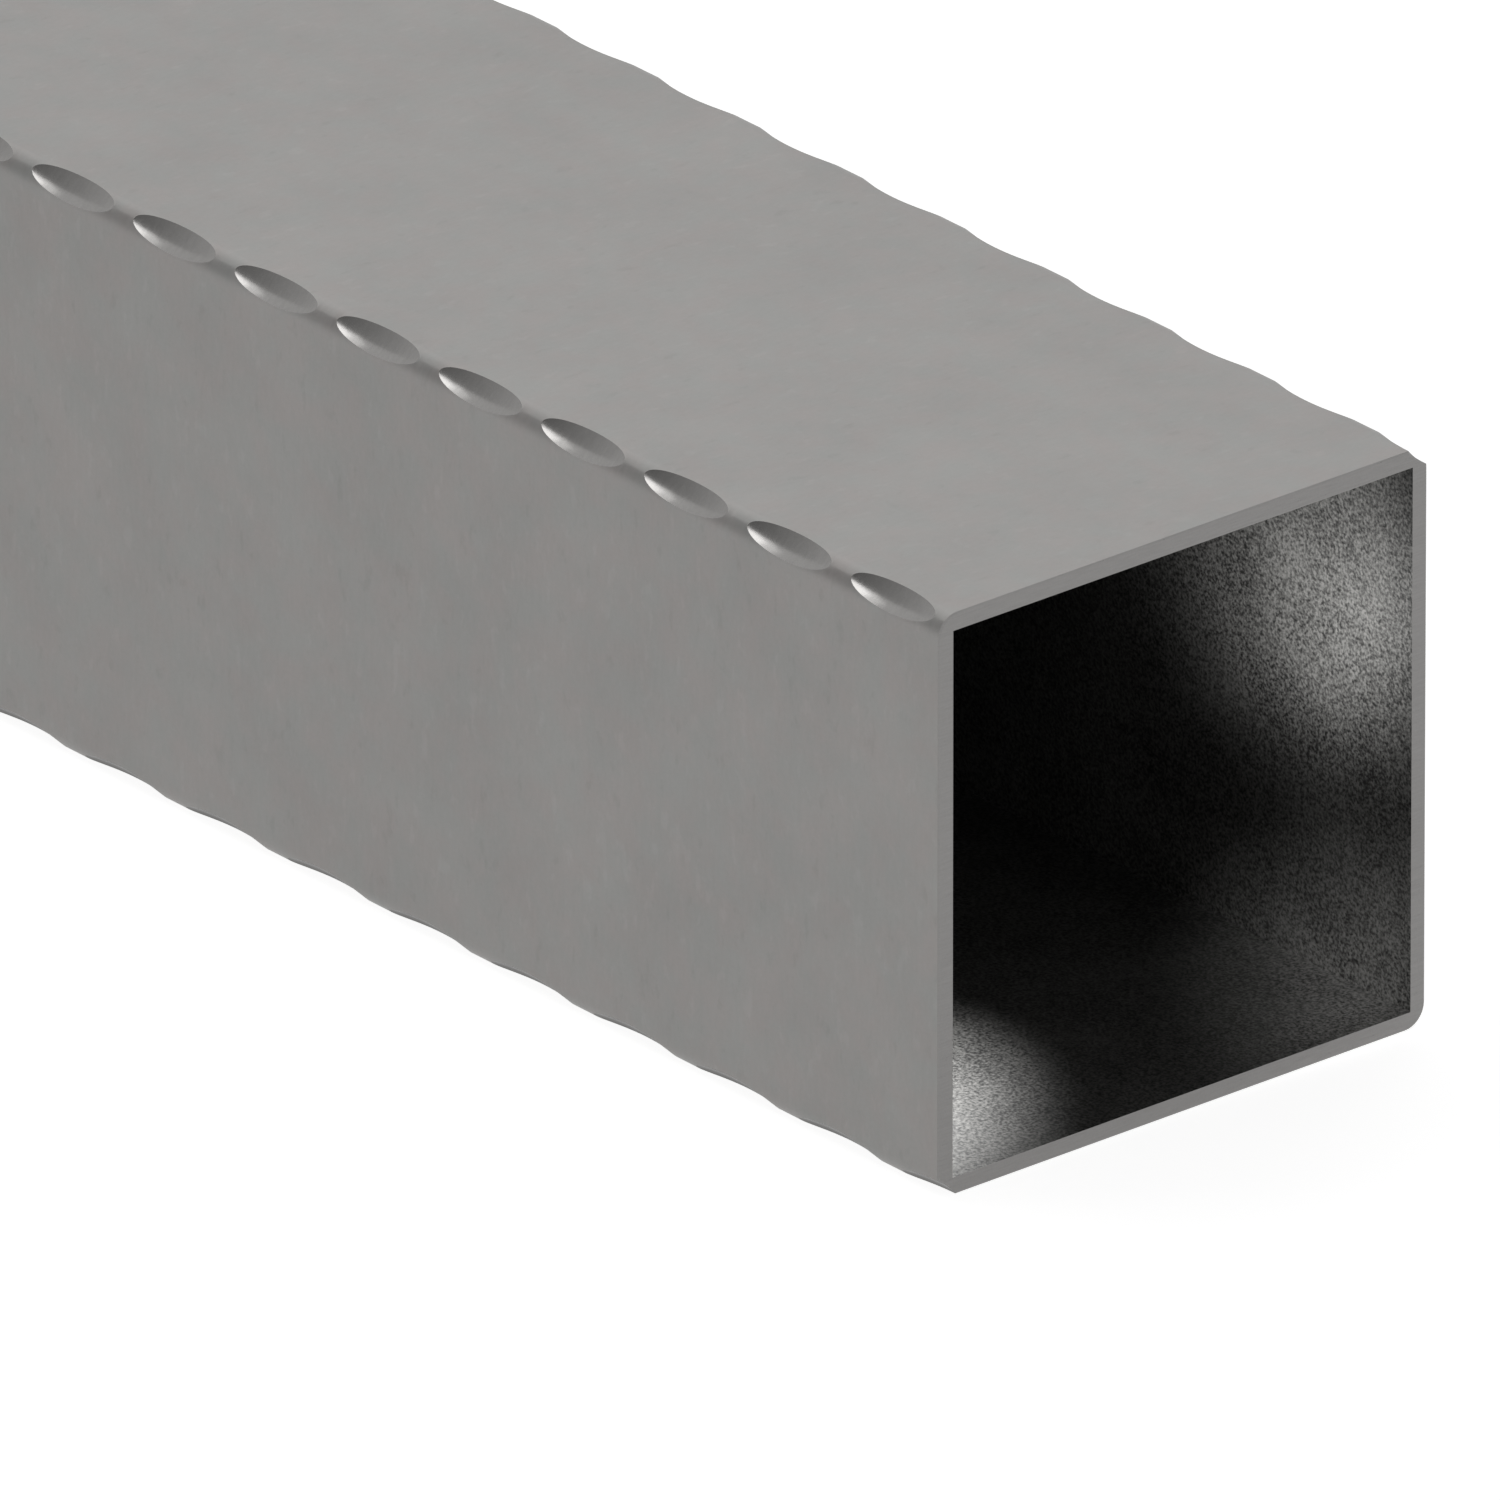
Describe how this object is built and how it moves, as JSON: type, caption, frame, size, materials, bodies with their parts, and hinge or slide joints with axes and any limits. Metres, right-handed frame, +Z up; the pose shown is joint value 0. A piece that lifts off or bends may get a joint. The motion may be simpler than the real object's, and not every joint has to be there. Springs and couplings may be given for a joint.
{
  "type": "square metal tube",
  "caption": "Square steel tube with hammered corners: straight hollow stock with flat sides, rounded corners dented at an even pitch, open bore and square saw cut ends",
  "frame": {"origin": "middle of the length and of the width, on the resting face underneath", "axes": "+X along the tube towards the cut end that faces the viewer, +Y to the right hand of that end, +Z up"},
  "size_m": [0.5, 0.1, 0.1],
  "materials": {
    "steel": "bare mill steel, dull, with a faint drawn grain and cloudy patches"
  },
  "bodies": {
    "root": {"square_tube": "steel"}
  },
  "joints": []
}
